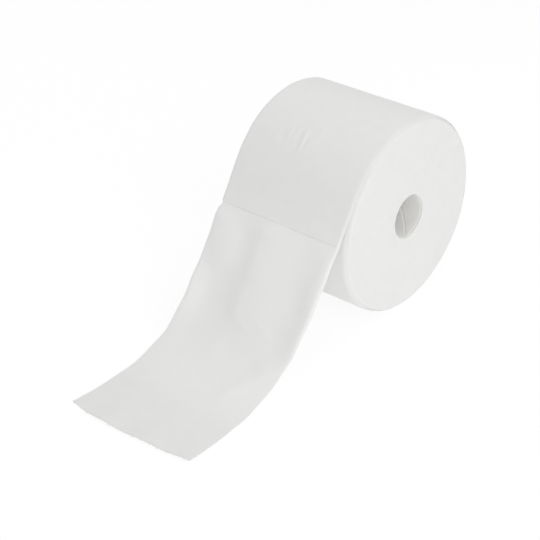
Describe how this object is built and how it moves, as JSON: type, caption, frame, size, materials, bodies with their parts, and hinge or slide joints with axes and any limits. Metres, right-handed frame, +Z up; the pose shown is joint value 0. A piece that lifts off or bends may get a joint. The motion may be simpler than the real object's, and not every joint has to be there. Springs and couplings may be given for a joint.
{
  "type": "cotton face towel roll",
  "caption": "Roll of soft white cotton face towels wound on a paper core, lying on its side, with the last perforated sheet drawn out in front and laid on the table.",
  "frame": {"origin": "on the table, in the middle of the flat spot that the roll rests on", "axes": "+X along the roll's axis, +Z up, the drawn-out sheet towards -Y"},
  "size_m": [0.11, 0.3228, 0.1513],
  "materials": {
    "cotton": "soft matt nonwoven cotton",
    "core_paper": "matt white spiral-wound paper"
  },
  "bodies": {
    "root": {"towel_roll": "cotton", "core_tube": "core_paper"}
  },
  "joints": []
}
